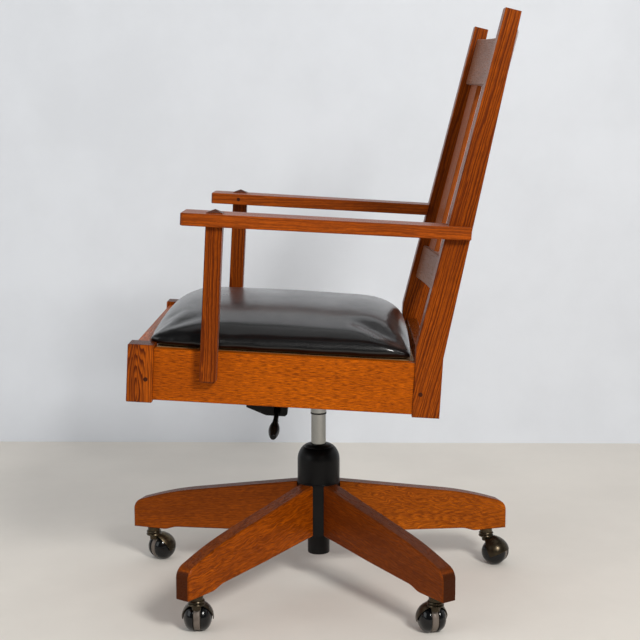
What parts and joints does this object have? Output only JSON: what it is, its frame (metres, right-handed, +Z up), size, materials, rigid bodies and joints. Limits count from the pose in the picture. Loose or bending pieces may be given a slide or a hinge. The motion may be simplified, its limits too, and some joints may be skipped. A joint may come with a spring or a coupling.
{
  "type": "office chair",
  "caption": "Wooden swivel desk chair with slatted back, flat arms, leather seat cushion, gas lift, tilt and a five-leg base on hooded casters.",
  "frame": {"origin": "on the floor, on the axis of the gas lift", "axes": "+Z up, -Y to the front of the seat, +X to the sitter's left"},
  "size_m": [0.7059, 0.753, 1.0586],
  "materials": {
    "oak_leg": "satin oil stain on oak",
    "oak_frame": "satin oil stain on oak",
    "oak_inner": "unfinished hardwood and plywood",
    "peg_wood": "dark hardwood pegs",
    "leather": "semi-gloss black",
    "black_metal": "matte black",
    "black_plastic": "matte black",
    "chrome": "satin chrome",
    "steel": "zinc plated",
    "bronze": "antique bronze",
    "wheel": "glossy black",
    "spring_rubber": "matte"
  },
  "bodies": {
    "base": {"base_leg_1": "oak_leg", "base_leg_2": "oak_leg", "base_leg_3": "oak_leg", "base_leg_4": "oak_leg", "base_leg_5": "oak_leg", "hub": "black_metal", "leg_bolts": "steel", "caster_sockets": "steel", "column_sleeve": "black_plastic", "column_tube": "black_metal", "column_bushing": "black_plastic", "thrust_bearing": "steel"},
    "piston": {"piston_rod": "steel", "retaining_clip": "steel"},
    "lift": {"gas_tube": "chrome", "tilt_housing": "black_metal", "tilt_spring": "spring_rubber", "lever_pin": "steel"},
    "valve": {"valve_pin": "steel"},
    "lever": {"release_lever": "black_metal", "lever_grip": "black_plastic"},
    "knob": {"tension_knob": "black_plastic"},
    "caster_1": {"caster_hood_1": "bronze"},
    "wheels_1": {"caster_wheels_1": "wheel"},
    "caster_2": {"caster_hood_2": "bronze"},
    "wheels_2": {"caster_wheels_2": "wheel"},
    "caster_3": {"caster_hood_3": "bronze"},
    "wheels_3": {"caster_wheels_3": "wheel"},
    "caster_4": {"caster_hood_4": "bronze"},
    "wheels_4": {"caster_wheels_4": "wheel"},
    "caster_5": {"caster_hood_5": "bronze"},
    "wheels_5": {"caster_wheels_5": "wheel"},
    "seat": {"tilt_axle": "steel", "tilt_plate": "black_metal", "plate_screws": "steel", "battens": "oak_inner", "corner_blocks": "oak_inner", "seat_board": "oak_inner", "cushion": "leather", "front_rail": "oak_frame", "back_rail": "oak_frame", "side_rail_left": "oak_frame", "side_rail_right": "oak_frame", "front_post_left": "oak_frame", "front_post_right": "oak_frame", "rear_post_left": "oak_frame", "rear_post_right": "oak_frame", "post_pegs": "peg_wood", "arm_left": "oak_frame", "arm_right": "oak_frame", "arm_support_left": "oak_frame", "arm_support_right": "oak_frame", "arm_pins": "peg_wood", "lower_back_rail": "oak_frame", "crest_rail": "oak_frame", "back_slat_1": "oak_frame", "back_slat_2": "oak_frame", "back_slat_3": "oak_frame", "back_slat_4": "oak_frame", "back_slat_5": "oak_frame"}
  },
  "joints": [
    {"name": "seat_swivel", "type": "hinge", "parent": "base", "child": "piston", "pos_m": [0, 0, 0.2], "axis": [0, 0, 1], "continuous": true},
    {"name": "gas_lift", "type": "slide", "parent": "piston", "child": "lift", "axis": [0, 0, 1], "range_m": [-0.045, 0.055]},
    {"name": "seat_tilt", "type": "hinge", "parent": "lift", "child": "seat", "pos_m": [0, -0.09269, 0.36708], "axis": [-1, 0, 0], "range_deg": [0, 12], "stiffness_Nm_per_rad": 220, "springref_deg": -17.19},
    {"name": "lever_raise", "type": "hinge", "parent": "lift", "child": "lever", "pos_m": [0.0635, -0.0741, 0.35904], "axis": [0, -0.9985, 0.0553], "range_deg": [0, 5], "stiffness_Nm_per_rad": 6, "springref_deg": -5.73},
    {"name": "valve_press", "type": "slide", "parent": "lift", "child": "valve", "axis": [0, 0, -1], "range_m": [0, 0.0059]},
    {"name": "knob_turn", "type": "hinge", "parent": "lift", "child": "knob", "pos_m": [0, -0.07754, 0.33319], "axis": [0, 0.0553, 0.9985], "continuous": true},
    {"name": "caster_swivel_1", "type": "hinge", "parent": "base", "child": "caster_1", "pos_m": [-0.35, 0, 0.06], "axis": [0, 0, 1], "continuous": true},
    {"name": "wheel_roll_1", "type": "hinge", "parent": "caster_1", "child": "wheels_1", "pos_m": [-0.33121, 0.00684, 0.025], "axis": [-0.342, 0.9397, 0], "continuous": true},
    {"name": "caster_swivel_2", "type": "hinge", "parent": "base", "child": "caster_2", "pos_m": [-0.10816, -0.33287, 0.06], "axis": [0, 0, 1], "continuous": true},
    {"name": "wheel_roll_2", "type": "hinge", "parent": "caster_2", "child": "wheels_2", "pos_m": [-0.1223, -0.31873, 0.025], "axis": [-0.7071, -0.7071, 0], "continuous": true},
    {"name": "caster_swivel_3", "type": "hinge", "parent": "base", "child": "caster_3", "pos_m": [0.28316, -0.20572, 0.06], "axis": [0, 0, 1], "continuous": true},
    {"name": "wheel_roll_3", "type": "hinge", "parent": "caster_3", "child": "wheels_3", "pos_m": [0.26316, -0.20572, 0.025], "axis": [0, -1, 0], "continuous": true},
    {"name": "caster_swivel_4", "type": "hinge", "parent": "base", "child": "caster_4", "pos_m": [0.28316, 0.20572, 0.06], "axis": [0, 0, 1], "continuous": true},
    {"name": "wheel_roll_4", "type": "hinge", "parent": "caster_4", "child": "wheels_4", "pos_m": [0.26384, 0.20055, 0.025], "axis": [0.2588, -0.9659, 0], "continuous": true},
    {"name": "caster_swivel_5", "type": "hinge", "parent": "base", "child": "caster_5", "pos_m": [-0.10816, 0.33287, 0.06], "axis": [0, 0, 1], "continuous": true},
    {"name": "wheel_roll_5", "type": "hinge", "parent": "caster_5", "child": "wheels_5", "pos_m": [-0.09908, 0.35069, 0.025], "axis": [-0.891, 0.454, 0], "continuous": true}
  ],
  "couplings": [
    {"joint": "valve_press", "follows": "lever_raise", "m_per_rad": 0.0665}
  ]
}
